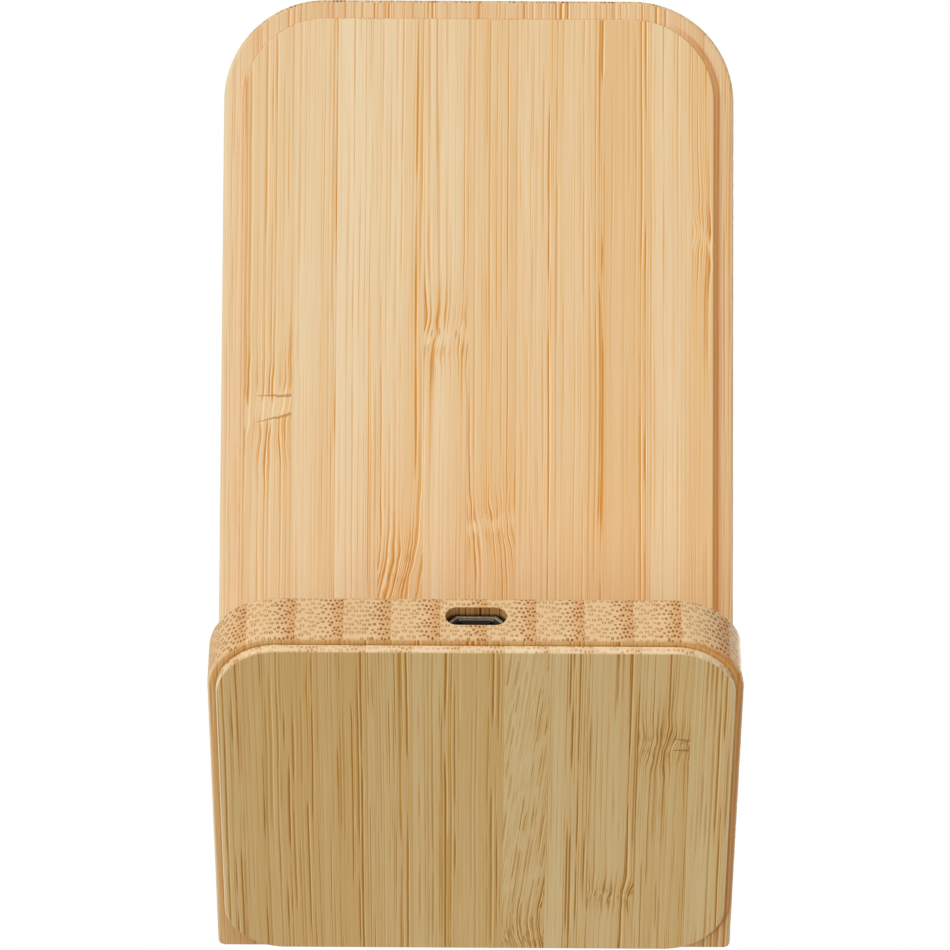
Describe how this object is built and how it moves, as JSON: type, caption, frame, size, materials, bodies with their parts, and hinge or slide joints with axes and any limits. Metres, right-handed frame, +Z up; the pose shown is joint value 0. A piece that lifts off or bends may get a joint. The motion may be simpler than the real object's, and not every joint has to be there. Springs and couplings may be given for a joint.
{
  "type": "wireless charging stand",
  "caption": "Bamboo phone stand that charges without a cable: a leaning back rest glued in a mitre to a flat base, with a phone ledge and a charging inlet at the back.",
  "frame": {"origin": "on the table under the middle of the stand: the bottom centre of the bounding box, in the plane of the base cover's underside", "axes": "+Z up, -Y towards the person who reads the phone, +Y towards the charging inlet at the back end of the base, +X to the right when looking along +Y"},
  "size_m": [0.075, 0.1054, 0.1075],
  "materials": {
    "bamboo_board": "side-pressed bamboo, sanded and matt",
    "bamboo_cover": "thin side-pressed bamboo plate, sanded and matt",
    "bamboo_dowel": "plain bamboo, unfinished",
    "coil_copper": "enamelled copper wire",
    "ferrite": "matt dark ferrite",
    "adhesive_film": "double-sided film",
    "foam": "closed-cell foam",
    "lead_insulation": "silicone insulation",
    "board_laminate": "solder mask on glass laminate",
    "shell_steel": "plated steel",
    "screw_steel": "zinc-plated steel",
    "contact_metal": "gold-plated contacts",
    "tongue_plastic": "black insulator",
    "chip_plastic": "black moulded package",
    "capacitor_ceramic": "fired ceramic chip",
    "inductor_core": "grey ferrite core"
  },
  "bodies": {
    "root": {"back_rest": "bamboo_board", "back_cover": "bamboo_cover", "base_board": "bamboo_board", "base_cover": "bamboo_cover", "phone_ledge": "bamboo_board", "ledge_dowel_1": "bamboo_dowel", "ledge_dowel_2": "bamboo_dowel", "mitre_spline_1": "bamboo_dowel", "mitre_spline_2": "bamboo_dowel", "coil_adhesive": "adhesive_film", "charging_coil": "coil_copper", "ferrite_sheet": "ferrite", "coil_foam": "foam", "coil_lead_1": "lead_insulation", "coil_lead_2": "lead_insulation", "circuit_board": "board_laminate", "usb_shell": "shell_steel", "usb_tongue": "tongue_plastic", "controller_chip": "chip_plastic", "bridge_transistor_1": "chip_plastic", "bridge_transistor_2": "chip_plastic", "power_inductor": "inductor_core", "board_screw_1": "screw_steel", "resonance_capacitor_1": "capacitor_ceramic", "board_screw_2": "screw_steel", "resonance_capacitor_2": "capacitor_ceramic", "board_screw_3": "screw_steel", "resonance_capacitor_3": "capacitor_ceramic", "board_screw_4": "screw_steel", "resonance_capacitor_4": "capacitor_ceramic", "usb_contact_1": "contact_metal", "usb_contact_2": "contact_metal", "usb_contact_3": "contact_metal", "usb_contact_4": "contact_metal", "usb_contact_5": "contact_metal", "input_capacitor_1": "capacitor_ceramic", "input_capacitor_2": "capacitor_ceramic"}
  },
  "joints": []
}
